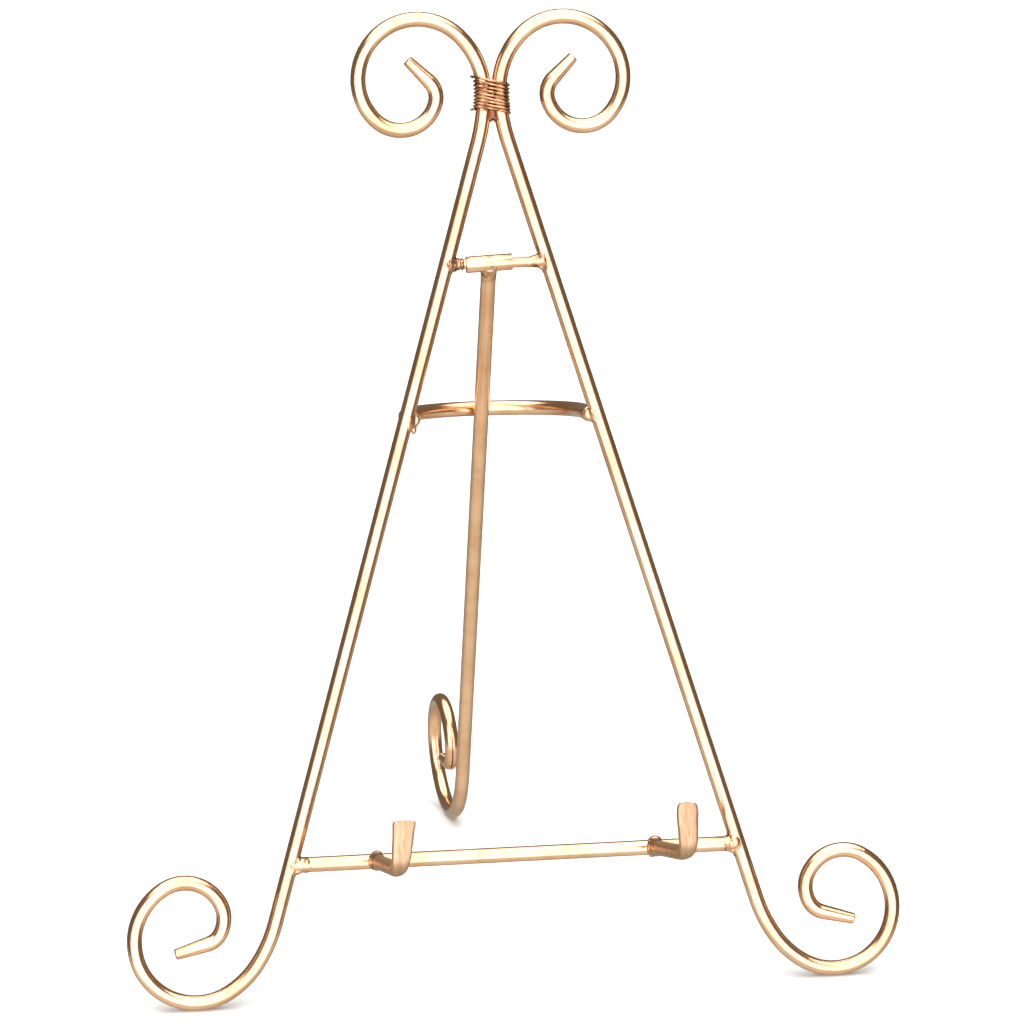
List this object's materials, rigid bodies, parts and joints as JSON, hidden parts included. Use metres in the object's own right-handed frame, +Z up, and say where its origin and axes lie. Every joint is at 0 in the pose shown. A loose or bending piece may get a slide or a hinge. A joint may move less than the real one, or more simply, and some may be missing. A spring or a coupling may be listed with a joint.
{
  "type": "folding tabletop display easel",
  "caption": "Folding tabletop display easel of round metal rod: scrolled A-frame bound with wire, picture hooks at the front and a hinged rear leg stopped by a bow.",
  "frame": {"origin": "on the table, under the middle of the easel's bounding box", "axes": "+X to the right of someone facing the easel, +Y to its back, +Z up"},
  "size_m": [0.2458, 0.2094, 0.2979],
  "materials": {
    "gold_lacquer": "gold-coloured lacquer on drawn steel rod, glossy, worn brown at bends and ends",
    "hammered_gold_lacquer": "gold-coloured lacquer over hammered flat ends, satin",
    "lacquered_braze": "brazing brass under the same lacquer, lumpy",
    "binding_wire": "soft annealed wire, copper-toned lacquer"
  },
  "bodies": {
    "front_frame": {"left_rail": "gold_lacquer", "right_rail": "gold_lacquer", "neck_wire_wrap": "binding_wire", "neck_fillet": "lacquered_braze", "hinge_pin": "gold_lacquer", "leg_stop_bow": "gold_lacquer", "lower_crossbar": "gold_lacquer", "left_hook": "hammered_gold_lacquer", "right_hook": "hammered_gold_lacquer", "left_pin_fillet": "lacquered_braze", "left_bow_fillet": "lacquered_braze", "left_crossbar_fillet": "lacquered_braze", "left_hook_fillet": "lacquered_braze", "right_pin_fillet": "lacquered_braze", "right_bow_fillet": "lacquered_braze", "right_crossbar_fillet": "lacquered_braze", "right_hook_fillet": "lacquered_braze"},
    "rear_leg_assembly": {"hinge_sleeve": "gold_lacquer", "rear_leg": "gold_lacquer", "leg_fillet": "lacquered_braze"}
  },
  "joints": [
    {"name": "leg_fold", "type": "hinge", "parent": "front_frame", "child": "rear_leg_assembly", "pos_m": [0, -0.02399, 0.22164], "axis": [-1, 0, 0], "range_deg": [0, 35]}
  ]
}
